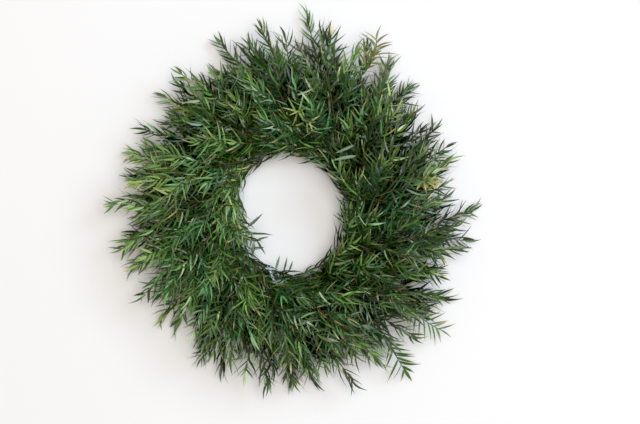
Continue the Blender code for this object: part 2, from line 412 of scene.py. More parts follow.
# How far from the hoop's centre the sprigs' tips come, by the angle round the hoop.
OUTLINE = (
    (0, 0.147), (12, 0.134), (30, 0.134), (40, 0.126), (52, 0.150), (63, 0.157), (72, 0.147),
    (86, 0.163), (100, 0.151), (115, 0.147), (125, 0.146), (133, 0.137), (142, 0.140), (158, 0.131),
    (180, 0.146), (190, 0.139), (202, 0.138), (215, 0.132), (230, 0.124), (240, 0.128), (252, 0.147),
    (262, 0.142), (280, 0.139), (292, 0.146), (306, 0.153), (320, 0.152), (332, 0.144), (345, 0.139),
)

# How near to the hoop's centre the leaves are left when the hole is trimmed, by the angle round the hoop.
HOLE_EDGE = (
    (0, 0.0400), (15, 0.0405), (30, 0.0417), (45, 0.0421), (60, 0.0450), (75, 0.0465), (90, 0.0500),
    (105, 0.0485), (120, 0.0485), (135, 0.0520), (150, 0.0500), (165, 0.0430), (180, 0.0390),
    (195, 0.0320), (210, 0.0305), (225, 0.0470), (240, 0.0500), (255, 0.0510), (270, 0.0490),
    (285, 0.0540), (300, 0.0540), (315, 0.0435), (330, 0.0475), (345, 0.0445),
)

# Each row's seat round the hoop's section and swing round the hoop in degrees, its reach as a share of the
# outline (the inner row follows the hole's edge instead), its rise in metres, how many side shoots a sprig
# has, how long they are, and how old its leaves are.
ROWS = {
    "outer": dict(seat=5.0, reach=0.98, swing=35.0, rise=0.003, shoots=11, shoot=0.044, age=0.68),
    "middle": dict(seat=65.0, reach=1.0, swing=31.0, rise=0.013, shoots=12, shoot=0.044, age=0.66),
    "crown": dict(seat=118.0, reach=0.94, swing=40.0, rise=0.026, shoots=12, shoot=0.042, age=0.58),
    "inner": dict(seat=155.0, swing=50.0, rise=0.013, shoots=7, shoot=0.026, age=0.62),
}
ROWS_AT_TIE = (("outer", "inner"), ("middle", "crown"))
STRAY_SPRIG = 38
STRAY_REACH = 0.30
HOLE_MARGIN = 0.0100
INNER_OVERHANG = 0.0045

# Sprigs that grew differently: with a reach that is a further share of the row's, darker, or with fewer
# shoots and leaves set further apart.
HABITS = {
    1: dict(reach=0.87),
    3: dict(reach=0.92),
    17: dict(reach=0.96),
    19: dict(reach=0.94),
    25: dict(tone=-0.35),
    38: dict(shoots=3, pitch=1.9),
}


def around_hole(bearing):
    """How far from the hoop's centre the hole's edge lies at a bearing in radians, read along its list."""
    angles, distances = zip(*HOLE_EDGE)
    return np.interp(np.degrees(bearing), angles, distances, period=360.0)


def sway(number, phase):
    """A natural-looking variation between -1 and 1 that is the same each time for one sprig."""
    return np.sin(2.4 * number + phase) * np.cos(5.1 * number + 2.0 * phase)


def twig_path(tie, kind, number):
    """The middle line of a sprig's twig, as a row of points from the butt to the tip.

    It lies along the hoop under its turn of wire, then springs clear of the wire square to the hoop's
    section. From there t runs from 0 to 1: the angle it has gone round grows as 1.6 t - 0.6 t^2 and its
    distance from the hoop's centre changes as t^1.5, while its height follows part of a sine, as an arch.
    """
    row = ROWS[kind]
    seat = np.radians(row["seat"])
    seat_radius = hoop_radius + TWIG_SEAT * np.cos(seat)
    seat_height = hoop_height + TWIG_SEAT * np.sin(seat)
    tied = wire_angle(tie + (row["seat"] + 90.0) / 360.0)
    free = tied + BOUND_AFTER_TIE / seat_radius
    swing = np.radians(row["swing"]) * (1 + SWING_VARIES * sway(number, 0.0))
    bearing, distance = zip(*OUTLINE)
    outline = np.interp(np.degrees(free + swing), bearing, distance, period=360.0)
    if number == STRAY_SPRIG:
        tip_radius = STRAY_REACH * outline
    elif kind == "inner":
        tip_radius = around_hole(free + swing) + HOLE_MARGIN
    else:
        tip_radius = row["reach"] * (outline - TIP_LEAF_LENGTH) + TIP_VARIES * sway(number, 1.0)
    tip_radius *= HABITS.get(number, {}).get("reach", 1.0)
    rise = row["rise"] * (1 + RISE_VARIES * sway(number, 2.0))
    t = np.linspace(0.0, 1.0, TWIG_STEPS)
    sprung = SPRING_CLEAR * (1 - np.exp(-((t / SPRING_SHARE) ** 2)))
    angle = free + swing * (1.6 * t - 0.6 * t**2)
    radius = seat_radius + (tip_radius - seat_radius) * t**1.5 + sprung * np.cos(seat)
    height = seat_height + rise * np.sin(ARCH_TURN * t) + sprung * np.sin(seat)
    bound = np.linspace(tied - BUTT_BEFORE_TIE / seat_radius, free, BOUND_POINTS + 1)[:-1]
    return from_hoop(
        np.append(bound, angle),
        np.append(np.full(BOUND_POINTS, seat_radius), radius),
        np.append(np.full(BOUND_POINTS, seat_height), height),
    )


SHOOT_STEPS = 14
SHORTEST_SHOOT = 4
SHOOT_ANGLE = (34.0, 66.0)
SHOOT_TILT = (-12.0, 42.0)
SHOOT_RETURN = 0.55
SHOOT_RADIUS = 0.00050
SHOOT_TIP_RADIUS = 0.00028
LOWEST_TWIG = 0.0022


def headings(path):
    """Unit vectors along a path."""
    along = np.gradient(path, axis=0)
    return along / np.linalg.norm(along, axis=1, keepdims=True)


def side_shoot(path, share, side, length, chance):
    """A side shoot: it leaves the twig at an angle and curves back towards the way that the twig runs.

    Its heading blends from the way it leaves to the twig's own heading, and is summed step by step.
    """
    place = share * (len(path) - 1)
    along = headings(path)
    start = np.array([np.interp(place, np.arange(len(path)), path[:, axis]) for axis in range(3)])
    ahead = along[int(place)]
    across = np.cross((0.0, 0.0, 1.0), ahead)
    across /= np.linalg.norm(across)
    above = np.cross(ahead, across)
    lean = np.radians(chance.uniform(*SHOOT_ANGLE))
    tilt = np.radians(chance.uniform(*SHOOT_TILT))
    leaving = np.cos(lean) * ahead + np.sin(lean) * (side * np.cos(tilt) * across + np.sin(tilt) * above)
    blend = SHOOT_RETURN * np.linspace(0.0, 1.0, SHOOT_STEPS)[:, None]
    heading = leaving * (1 - blend) + ahead * blend
    heading /= np.linalg.norm(heading, axis=1, keepdims=True)
    points = start + np.cumsum(heading, axis=0) * (length / SHOOT_STEPS)
    points = np.concatenate((start[None], points))
    points[:, 2] = np.maximum(points[:, 2], LOWEST_TWIG)
    return points


# Shoots that stand out, by the sprig that bears them. Each starts at a share of the sprig's length and
# curves past a bend to its tip, both given as an angle round the hoop, a distance from its centre and a
# height. Leaves start after a bare length, "pitch" apart, and their length and breadth are shares of the
# usual. One that is bare all along has a single leaf at its tip.
PALE_BENEATH = dict(age=0.40, tone=0.05, cool=1.0, dry=0.0, turned=1.0)
DEEP_GREEN = dict(age=0.72, tone=0.05, cool=0.4, dry=0.1)


def single_leaf(share, bend, tip, leaf, breadth, look):
    """The note of a bare shoot with one leaf at its tip."""
    return dict(share=share, bend=bend, tip=tip, bare=1.0, leaf=leaf, breadth=breadth, sickle=-0.1, **look)


SHOOTS_OF_NOTE = {
    # An open one in olive brown that stands out beyond the rest, and two broad leaves with pale undersides.
    19: (
        dict(
            share=0.84, bend=(60.5, 0.1345, 0.031), tip=(63.6, 0.1465, 0.031), bare=0.010,
            pitch=0.0016, leaf=1.02, breadth=0.85, ranks=(0, 180), lean=45, sickle=-0.80, age=0.0,
            tone=-0.15, cool=0.0, dry=0.60,
        ),
        dict(
            share=0.86, bend=(62.6, 0.130, 0.031), tip=(62.2, 0.1365, 0.032), bare=0.003,
            pitch=0.0015, leaf=0.65, breadth=1.1, lean=30, sickle=0.0, age=0.06, tone=-0.25,
            cool=0.0, dry=0.65,
        ),
        single_leaf(0.37, (45.9, 0.0718, 0.0615), (46.9, 0.0687, 0.0610), 1.25, 1.45, PALE_BENEATH),
        single_leaf(0.37, (39.1, 0.0667, 0.0615), (40.8, 0.0648, 0.0610), 1.36, 1.45, PALE_BENEATH),
    ),
    # One with long leaves on one side, like a comb.
    1: (
        dict(
            share=0.97, bend=(306.6, 0.1294, 0.014), tip=(305.9, 0.1480, 0.012), bare=0.003,
            pitch=0.0021, leaf=1.03, breadth=1.2, ranks=(0, 180, 0, 180, 0, 0, 0, 180, 0, 180),
            lean=48, sickle=-0.15, age=0.62, tone=0.30, cool=0.1, dry=0.35,
        ),
    ),
    # A pale one with straw-coloured tips.
    5: (
        dict(
            share=0.66, bend=(319.8, 0.128, 0.018), tip=(322.0, 0.1455, 0.015), bare=0.009,
            pitch=0.0020, leaf=1.02, breadth=1.0, ranks=(0, 180), lean=44, sickle=-0.30, age=0.36,
            tone=0.25, cool=0.1, dry=0.50,
        ),
    ),
    # A short yellow one.
    11: (
        dict(
            share=0.78, bend=(13.5, 0.100, 0.044), tip=(12.5, 0.1080, 0.046), bare=0.004,
            pitch=0.0012, leaf=0.62, breadth=1.1, lean=46, sickle=0.2, age=0.04, tone=0.30,
            cool=0.0, dry=0.62,
        ),
    ),
    # Two pale young ones that stand up, so that their leaves spread like stars.
    24: (
        dict(
            share=0.46, bend=(86.0, 0.0755, 0.042), tip=(84.5, 0.0770, 0.053), bare=0.009,
            pitch=0.0018, leaf=0.88, breadth=0.9, lean=66, flat=1.0, sickle=0.0, age=0.13,
            tone=0.38, cool=0.1, dry=0.22,
        ),
        dict(
            share=0.40, bend=(79.0, 0.0700, 0.042), tip=(78.0, 0.0700, 0.050), bare=0.009,
            pitch=0.0019, leaf=0.74, breadth=0.9, lean=68, flat=1.0, sickle=0.0, age=0.14,
            tone=0.28, cool=0.1, dry=0.35,
        ),
    ),
    # The stray sprig's end, with a few long leaves spread into the hole.
    38: (
        single_leaf(0.52, (199.7, 0.0366, 0.024), (197.8, 0.0340, 0.024), 1.10, 1.7, DEEP_GREEN),
        single_leaf(0.74, (206.7, 0.0373, 0.025), (208.2, 0.0343, 0.025), 1.45, 1.1, DEEP_GREEN),
        single_leaf(0.98, (217.1, 0.0361, 0.024), (218.5, 0.0333, 0.024), 0.80, 0.9, DEEP_GREEN),
        single_leaf(0.98, (214.2, 0.0329, 0.023), (219.5, 0.0333, 0.023), 1.05, 0.9, DEEP_GREEN),
        single_leaf(0.80, (219.2, 0.0436, 0.021), (221.6, 0.0411, 0.021), 1.00, 1.3, DEEP_GREEN),
        single_leaf(0.98, (216.0, 0.0341, 0.025), (219.5, 0.0362, 0.025), 0.85, 1.7, DEEP_GREEN),
    ),
    # Three short ones beside the twisted ends of the wire.
    50: (
        single_leaf(0.14, (255.6, 0.0472, 0.022), (255.4, 0.0441, 0.022), 1.10, 1.20, PALE_BENEATH),
        single_leaf(0.22, (262.8, 0.0472, 0.020), (263.2, 0.0445, 0.020), 0.88, 0.9, DEEP_GREEN),
        single_leaf(0.27, (267.4, 0.0465, 0.020), (268.7, 0.0438, 0.020), 0.70, 0.9, DEEP_GREEN),
    ),
}


def shoot_of_note(path, note):
    """A shoot that stands out: a quadratic curve from the twig, drawn towards the bend, to its tip."""
    place = note["share"] * (len(path) - 1)
    start = np.array([np.interp(place, np.arange(len(path)), path[:, axis]) for axis in range(3)])
    bend, tip = (from_hoop(np.radians(angle), far, high) for angle, far, high in (note["bend"], note["tip"]))
    t = np.linspace(0.0, 1.0, SHOOT_STEPS + 1)[:, None]
    return (1 - t) ** 2 * start + 2 * t * (1 - t) * bend + t**2 * tip


LEAF_STATIONS = np.array((0.0, 0.12, 0.34, 0.60, 0.84, 1.0))
LEAF_HALF_WIDTHS = np.array((0.35, 0.80, 1.0, 0.80, 0.38, 0.03))
LEAF_THICKNESS = 0.00026
LEAF_PITCH = 0.00162
LEAF_LENGTH = 0.0164
LEAF_WIDTH = 0.00162
TURNED_OVER = 0.085
SPIRAL_TURN = np.radians(137.5)
LEAF_FLOOR = 0.0003
LEAF_CEILING = 0.0660
WIRE_CLEARANCE = 0.0019
WIRE_HIDDEN_BELOW = 0.001
SWEPT_MOST = 0.0090
EDGE_VARIES = 0.0015

# How leaves are set along a shoot. The noted shoots vary less and hold their last leaf straighter.
PITCH_VARIES = 0.2
SPIRAL_FLATNESS = 0.55
SPIRAL_LIFT = 0.12
LEAF_LEAN = 49.0
LEAN_VARIES = 9.0
NOTED_LEAN_VARIES = 6.0
LEAN_CLOSES_BY = 12.0
LEAN_CLOSES_FROM = 0.7
LEAN_CLOSES_OVER = 0.3
END_LEAN = 14.0
NOTED_END_LEAN = 3.0
LENGTH_VARIES = 0.13
LENGTH_ALONG_SHOOT = ((0, 0.12, 0.75, 1), (0.75, 1, 1, 0.72))
NOTED_SPREAD = 0.4
FACES_UP = 0.55
FACES_AHEAD = 0.6
FACING_VARIES = 0.22

# How a blade bends sideways, droops, twists and folds, and how its width varies.
TIP_FLOOR = 0.0010
SICKLE = 0.74
SICKLE_VARIES = 0.36
DROOP = -0.10
DROOP_VARIES = 0.26
TWIST_VARIES = 0.28
FOLD = (0.12, 0.42)
WIDTH_VARIES = 0.12
WIDTH_LIMITS = (0.7, 1.35)


def leaves_along(path, chance, first, pitch, scale, habit):
    """Where the leaves of one shoot sit and how they point, as a dictionary of arrays with one entry a leaf.

    They are set in a spiral of 137.5 degrees, or in the habit's own ranks, flattened towards the sides, and
    lie closer to the shoot near its tip. Their upper faces look partly up and partly along the shoot.
    """
    steps = np.linalg.norm(np.diff(path, axis=0), axis=1)
    run = np.append(0.0, np.cumsum(steps))
    at = np.arange(first, run[-1], pitch)
    at = at + chance.uniform(-PITCH_VARIES, PITCH_VARIES, len(at)) * pitch
    at = np.append(np.clip(at, 0.0, run[-1]), run[-1])
    share = at / run[-1]
    base = np.stack([np.interp(at, run, path[:, axis]) for axis in range(3)], axis=-1)
    along = headings(path)
    ahead = np.stack([np.interp(at, run, along[:, axis]) for axis in range(3)], axis=-1)
    ahead /= np.linalg.norm(ahead, axis=1, keepdims=True)
    across = np.cross((0.0, 0.0, 1.0), ahead)
    across /= np.linalg.norm(across, axis=1, keepdims=True)
    above = np.cross(ahead, across)
    spiral = SPIRAL_TURN * np.arange(len(at)) + chance.uniform(0, 2 * np.pi)
    if "ranks" in habit:
        spiral = np.radians(np.resize(habit["ranks"], len(at)))
    flat = habit.get("flat", SPIRAL_FLATNESS)
    out = np.cos(spiral)[:, None] * across + (flat * np.sin(spiral)[:, None] + SPIRAL_LIFT) * above
    out /= np.linalg.norm(out, axis=1, keepdims=True)
    lean_varies = NOTED_LEAN_VARIES if habit else LEAN_VARIES
    lean = chance.normal(habit.get("lean", LEAF_LEAN), lean_varies, len(at))
    lean = np.radians(lean - LEAN_CLOSES_BY * np.clip(share - LEAN_CLOSES_FROM, 0, 1) / LEAN_CLOSES_OVER)
    lean[-1] = np.radians(NOTED_END_LEAN if habit else END_LEAN)
    ahead_of_leaf = np.cos(lean)[:, None] * ahead + np.sin(lean)[:, None] * out
    length = scale * chance.normal(1.0, LENGTH_VARIES, len(at)) * np.interp(share, *LENGTH_ALONG_SHOOT)
    spread = NOTED_SPREAD if habit else 1.0
    wander = spread * chance.normal(0.0, FACING_VARIES, (len(at), 3))
    facing = FACES_UP * np.array((0.0, 0.0, 1.0)) + FACES_AHEAD * ahead + wander
    turned = chance.uniform(0.0, 1.0, len(at)) < habit.get("turned", TURNED_OVER)
    facing *= np.where(turned, -1.0, 1.0)[:, None]
    return dict(base=base, heading=ahead_of_leaf, facing=facing, length=length, share=share, shoot=ahead)


def leaf_blades(leaves, chance, habit):
    """The points of many leaves at once, as an array of leaf, station, corner and coordinate.

    Each leaf is a thin closed blade: four corners at each station, at the two margins and above and below
    the midrib. Its middle line is a parabola that bends sideways like a sickle and out of its own plane,
    its half width follows the station's share, its margins stand above the midrib as a shallow fold, and
    it twists.
    """
    heading, facing = leaves["heading"], leaves["facing"]
    count = len(heading)
    length = LEAF_LENGTH * leaves["length"]
    fallen = leaves["base"][:, 2] + heading[:, 2] * length
    heading = heading.copy()
    short = np.maximum(TIP_FLOOR - fallen, 0.0) / length
    heading[:, 2] += short
    heading /= np.linalg.norm(heading, axis=1, keepdims=True)
    across = np.cross(heading, facing)
    across /= np.linalg.norm(across, axis=1, keepdims=True)
    face = np.cross(across, heading)
    towards_tip = np.sign(np.sum(across * leaves["shoot"], axis=1))
    spread = NOTED_SPREAD if habit else 1.0
    sickle = towards_tip * chance.normal(habit.get("sickle", SICKLE), SICKLE_VARIES * spread, count)
    droop = chance.normal(DROOP, DROOP_VARIES * spread, count)
    twist = chance.normal(0.0, TWIST_VARIES * spread, count)
    fold = chance.uniform(*FOLD, count)
    varied = np.clip(chance.normal(1.0, WIDTH_VARIES, count), *WIDTH_LIMITS)
    width = LEAF_WIDTH * varied * habit.get("breadth", 1.0) / 2
    width *= 1.0 + RIM_BROADER * towards_rim(leaves["base"])
    v = LEAF_STATIONS
    middle = (
        v[:, None] * heading[:, None]
        + 0.5 * (v**2)[:, None] * (sickle[:, None] * across)[:, None]
        + 0.5 * (v**2)[:, None] * (droop[:, None] * face)[:, None]
    ) * length[:, None, None]
    middle += leaves["base"][:, None]
    turn = (twist[:, None] * v)[..., None]
    side = np.cos(turn) * across[:, None] + np.sin(turn) * face[:, None]
    lift = np.cos(turn) * face[:, None] - np.sin(turn) * across[:, None]
    half = (width[:, None] * LEAF_HALF_WIDTHS)[..., None]
    raised = half * fold[:, None, None]
    rib = LEAF_THICKNESS / 2 * np.sqrt(LEAF_HALF_WIDTHS)[None, :, None]
    corners = np.stack((
        middle - half * side + raised * lift,
        middle - rib * lift,
        middle + half * side + raised * lift,
        middle + rib * lift,
    ), axis=2)
    lowest = corners[..., 2].min(axis=(1, 2))
    highest = corners[..., 2].max(axis=(1, 2))
    moved = np.maximum(LEAF_FLOOR - lowest, 0.0) - np.maximum(highest - LEAF_CEILING, 0.0)
    corners[..., 2] += moved[:, None, None]
    return corners


def trimmed_to_hole(shoot):
    """A shoot as far as the hole's edge, when it would end inside it."""
    x, y = (shoot[:, :2] - hoop_centre).T
    inside = np.hypot(x, y) < around_hole(np.arctan2(y, x))
    return shoot[:np.argmax(inside)] if inside[-1] else shoot


def swept_clear_of_hole(blades, chance, overhang):
    """The same leaves, swept back from the hole, and which of them are left when it is trimmed.

    A leaf whose tip reaches past the edge, give or take a bit, is moved outwards by as much as it is past,
    times the square of the way along it, so that it lies along the edge. Leaves that reach much too far
    are cut off.
    """
    x, y = (blades[:, -1, 0, :2] - hoop_centre).T
    edge = around_hole(np.arctan2(y, x)) - overhang - chance.exponential(EDGE_VARIES, len(blades))
    past = np.maximum(edge - np.hypot(x, y), 0.0)
    outwards = np.stack((x, y), axis=-1) / np.hypot(x, y)[:, None]
    swept = blades.copy()
    swept[..., :2] += (past[:, None] * LEAF_STATIONS**2)[..., None, None] * outwards[:, None, None]
    return swept, past < SWEPT_MOST


def clear_of_wire(middles):
    """Which leaves do not hide the wire's twisted ends, by their distance seen from above and height."""
    ends = wire_tail(0.0)[TAIL_STATIONS // 2::2]
    apart = np.linalg.norm(middles[:, :, None, :2] - ends[:, :2], axis=-1)
    above = middles[:, :, None, 2] > ends[:, 2] - WIRE_HIDDEN_BELOW
    return ~np.any((apart < WIRE_CLEARANCE) & above, axis=(1, 2))


LEAF_QUADS = tube_quads(len(LEAF_STATIONS), 4, closed=False)
LEAF_UNDERSIDE = np.append(np.tile((1.0, 1.0, 0.0, 0.0), len(LEAF_STATIONS) - 1), (0.0, 0.0))


# The height of the wreath's upper surface by the distance from its centre. Leaves below it get painted
# shade.
UPPER_SURFACE = (
    (0.030, 0.012), (0.045, 0.020), (0.060, 0.036), (0.090, 0.044), (0.110, 0.024), (0.130, 0.006),
    (0.150, 0.0),
)
SHADE_DEPTH = 0.030
WALL_ENDS = (0.055, 0.070)

# By the angle round the hoop: the painted shade on the hole's wall, less on the side where the light falls,
# and how bright all leaves are, partly their own tone and partly painted light and shade.
WALL_SHADE = ((0, 1.1), (60, 0.7), (90, 0.3), (240, 0.3), (300, 0.9), (345, 1.1))
# Past this much painted shade, leaves take the dull copy of the leaf finish: painted shade on their shine.
DULL_SHADE = 0.45
BRIGHTEST_LEAF = 2.8
TONE_AND_PAINTED_LIGHT_ROUND_HOOP = (
    (0, -0.34), (45, -0.08), (90, 0.14), (135, 0.0), (180, 0.46), (225, 0.44), (270, -0.12), (315, 0.02),
)

# Where twigs stay green by distance from the hoop's centre, and how leaves differ towards the rim.
GREEN_TWIGS = ((0.050, 0.068), (0.75, 0.0))
RIM_DARKER = 0.28
RIM_LESS_BLUE = 0.8
RIM_BROADER = 0.16
RIM_FROM = 0.090
RIM_DEPTH = 0.030


def painted_shade(base):
    """Painted shade on leaves inside the wreath, from 0 at its upper surface, growing with their depth below
    it.

    Near the hole it is scaled by a share that depends on the angle round the hoop, so that the painted shade
    on the hole's wall is lighter on the side where the light falls.
    """
    x, y = (base[:, :2] - hoop_centre).T
    distance, height = zip(*UPPER_SURFACE)
    depth = np.interp(np.hypot(x, y), distance, height) - base[:, 2]
    angles, shares = zip(*WALL_SHADE)
    wall = np.interp(np.degrees(np.arctan2(y, x)), angles, shares, period=360.0)
    share = np.interp(np.hypot(x, y), WALL_ENDS, (0.0, 1.0))
    return np.clip(depth, 0.0, None) / SHADE_DEPTH * (share + (1.0 - share) * wall)


def towards_rim(base):
    """How near leaves are to the wreath's rim, from 0 to 1."""
    x, y = (base[:, :2] - hoop_centre).T
    return np.clip((np.hypot(x, y) - RIM_FROM) / RIM_DEPTH, 0.0, 1.0)


# A side shoot's place between the woody butt, 0, and the green tip, 1: where it starts and what it gains.
SHOOT_GREEN_FROM = 0.45
SHOOT_GREEN_GAIN = 0.55


def woody_at(share, thick):
    """How far a place is from the woody butt, 0 to 1: along the twig itself, or along a side shoot."""
    return share if thick == TWIG_RADIUS else SHOOT_GREEN_FROM + SHOOT_GREEN_GAIN * share


# A sprig's chances: where side shoots leave it, how long they are, and where their leaves start.
SPRIG_SEED = 500
SHOOTS_BETWEEN = (0.07, 0.70)
SHOOT_PLACE_VARIES = 0.03
SHOOT_LENGTH_VARIES = (0.7, 1.12)
SHOOTS_SHORTEN = 0.4
FIRST_LEAF = 0.012
SHOOT_FIRST_LEAF = 0.003
SHOOT_LEAF_SCALE = 0.92

# How the leaves' age, tone, blueness and dryness vary: by sprig, by shoot and by leaf, and how much painted
# shade raises their age and darkens their tone.
SPRIG_AGE_VARIES = 0.18
SPRIG_TONE = 0.12
SPRIG_TONE_VARIES = 0.05
YOUTH_AT_TIP = 0.4
YOUTH_AT_BUTT = 0.15
SHOOT_AGE_VARIES = 0.09
LEAF_AGE_VARIES = 0.08
PAINTED_SHADE_AGE = 0.15
SHOOT_TONE_VARIES = 0.30
LEAF_TONE_VARIES = 0.60
SHADE_DARKENS = 2.2
BRIGHTEST_YOUNG = 0.60
BRIGHTEST_GAIN = 0.8
SHOOT_BLUENESS = (-0.4, 0.85)
LEAF_BLUENESS_VARIES = 0.2
DRY_CHANCE = 0.30
DRY_TIP = (0.05, 0.45)
DEAD_CHANCE = 0.007
DEAD_LEAF = 1.3
NOTED_AGE_VARIES = 0.05
NOTED_TONE_VARIES = 0.12
NOTED_DRY = (0.6, 1.1)


def sprig_parts(tie, kind, number):
    """A whole sprig as arrays: its points and faces, each face's material, and the attributes they carry."""
    row = {**ROWS[kind], **HABITS.get(number, {})}
    chance = np.random.default_rng(SPRIG_SEED + number)
    path = twig_path(tie, kind, number)
    shoots = [(path, TWIG_RADIUS, TWIG_TIP_RADIUS, FIRST_LEAF, 1.0, {})]
    shares = np.linspace(*SHOOTS_BETWEEN, row["shoots"])
    shares = shares + chance.uniform(-SHOOT_PLACE_VARIES, SHOOT_PLACE_VARIES, row["shoots"])
    for place, share in enumerate(shares):
        length = row["shoot"] * chance.uniform(*SHOOT_LENGTH_VARIES) * (1.0 - SHOOTS_SHORTEN * share)
        side = -1.0 if kind == "inner" or (place + number) % 2 else 1.0
        shoot = side_shoot(path, share, side, length, chance)
        if number != STRAY_SPRIG:
            shoot = trimmed_to_hole(shoot)
        if len(shoot) >= SHORTEST_SHOOT:
            shoots.append((shoot, SHOOT_RADIUS, SHOOT_TIP_RADIUS, SHOOT_FIRST_LEAF, SHOOT_LEAF_SCALE, {}))
    for note in SHOOTS_OF_NOTE.get(number, ()):
        noted = shoot_of_note(path, note)
        shoots.append((noted, SHOOT_RADIUS, SHOOT_TIP_RADIUS, note["bare"], note["leaf"], note))

    sprig_age = row["age"] + SPRIG_AGE_VARIES * sway(number, 3.0)
    # The sprig's brightness by the angle round the hoop, partly its own tone and partly painted light and
    # shade.
    bearing = np.arctan2(*(path[-1, :2] - hoop_centre)[::-1])
    angles, tones = zip(*TONE_AND_PAINTED_LIGHT_ROUND_HOOP)
    sprig_tone = np.interp(np.degrees(bearing), angles, tones, period=360.0)
    sprig_tone = SPRIG_TONE + sprig_tone + SPRIG_TONE_VARIES * sway(number, 5.0) + row.get("tone", 0.0)
    points, quads, finish = [], [], []
    values = {label: [] for label in ("age", "tone", "cool", "dry", "along", "across")}
    underside = []
    total = 0
    for line, thick, thin, first, scale, habit in shoots:
        girth = thin + (thick - thin) * (1.0 - np.linspace(0.0, 1.0, len(line))) ** TWIG_TAPER
        up = np.tile((0.0, 0.0, 1.0), (len(line), 1))
        rings = rings_along(line, girth, TWIG_SIDES, up)
        skin = tube_quads(len(line), TWIG_SIDES, closed=False)
        points.append(rings.reshape(-1, 3))
        quads.append(skin + total)
        finish.append(np.ones(len(skin)))
        underside.append(np.zeros(len(skin)))
        share = np.repeat(np.linspace(0.0, 1.0, len(line)), TWIG_SIDES)
        x, y = (line[:, :2] - hoop_centre).T
        green = np.interp(np.hypot(x, y), *GREEN_TWIGS)
        woody = np.maximum(woody_at(share, thick), np.repeat(green, TWIG_SIDES))
        for label, value in (("age", woody), ("along", share)):
            values[label].append(value)
        for label in ("tone", "cool", "dry", "across"):
            values[label].append(np.zeros(len(share)))
        total += rings.shape[0] * rings.shape[1]

        pitch = habit.get("pitch", LEAF_PITCH * row.get("pitch", 1.0))
        leaves = leaves_along(line, chance, first, pitch, scale, habit)
        blades = leaf_blades(leaves, chance, habit)
        overhang = INNER_OVERHANG if kind == "inner" else 0.0
        swept, kept = swept_clear_of_hole(blades, chance, overhang)
        if habit or number == STRAY_SPRIG:
            kept[:] = True
        else:
            blades = swept
        kept &= clear_of_wire(blades[:, :, 1])
        blades = blades[kept]
        leaves = {label: value[kept] for label, value in leaves.items()}
        count, stations = blades.shape[:2]
        each = stations * 4
        points.append(blades.reshape(-1, 3))
        starts = (total + each * np.arange(count))[:, None, None]
        quads.append((LEAF_QUADS[None] + starts).reshape(-1, 4))
        # Painted shade below the wreath's upper surface: it darkens the tone, raises the age and picks the
        # dull finish.
        shade = painted_shade(leaves["base"])
        underside.append(np.tile(LEAF_UNDERSIDE, count))
        youth = YOUTH_AT_TIP * woody_at(leaves["share"], thick) ** 2 - YOUTH_AT_BUTT
        age = sprig_age - youth + chance.normal(0.0, SHOOT_AGE_VARIES)
        age = age + chance.normal(0.0, LEAF_AGE_VARIES, count) + PAINTED_SHADE_AGE * shade
        age = np.clip(age, 0.0, 1.0)
        rim = towards_rim(leaves["base"])
        # The leaf's own tone, with painted shade darkening it below the upper surface.
        tone = sprig_tone + chance.normal(0.0, SHOOT_TONE_VARIES)
        tone = tone + chance.normal(0.0, LEAF_TONE_VARIES, count)
        tone = np.exp(tone - SHADE_DARKENS * shade - RIM_DARKER * rim)
        tone = np.minimum(tone, BRIGHTEST_LEAF * (BRIGHTEST_YOUNG + BRIGHTEST_GAIN * age))
        cool = chance.uniform(*SHOOT_BLUENESS) + chance.normal(0.0, LEAF_BLUENESS_VARIES, count)
        cool = np.clip(cool, 0.0, 1.0)
        cool *= 1.0 - RIM_LESS_BLUE * rim
        dries = chance.uniform(0.0, 1.0, count) < DRY_CHANCE
        dry = np.where(dries, chance.uniform(*DRY_TIP, count), 0.0)
        dry = np.where(chance.uniform(0.0, 1.0, count) < DEAD_CHANCE, DEAD_LEAF, dry)
        if habit:
            age = np.clip(habit["age"] + chance.normal(0.0, NOTED_AGE_VARIES, count), 0.0, 1.0)
            tone = np.exp(habit["tone"] + chance.normal(0.0, NOTED_TONE_VARIES, count))
            cool = np.full(count, habit["cool"])
            dry = habit["dry"] * chance.uniform(*NOTED_DRY, count)
            shade = np.zeros(count)
        # Leaves in deep painted shade get the dull copy of the leaf finish, standing in for shade on their
        # shine.
        finish.append(np.repeat(np.where(shade > DULL_SHADE, 2.0, 0.0), len(LEAF_QUADS)))
        for label, value in (("age", age), ("tone", tone), ("cool", cool), ("dry", dry)):
            values[label].append(np.repeat(value, each))
        values["along"].append(np.tile(np.repeat(LEAF_STATIONS, 4), count))
        values["across"].append(np.tile((1.0, 0.0, 1.0, 0.0), count * stations))
        total += count * each
    return (
        np.concatenate(points), np.concatenate(quads), np.concatenate(finish),
        {label: np.concatenate(value) for label, value in values.items()},
        {"underside": np.concatenate(underside)},
    )


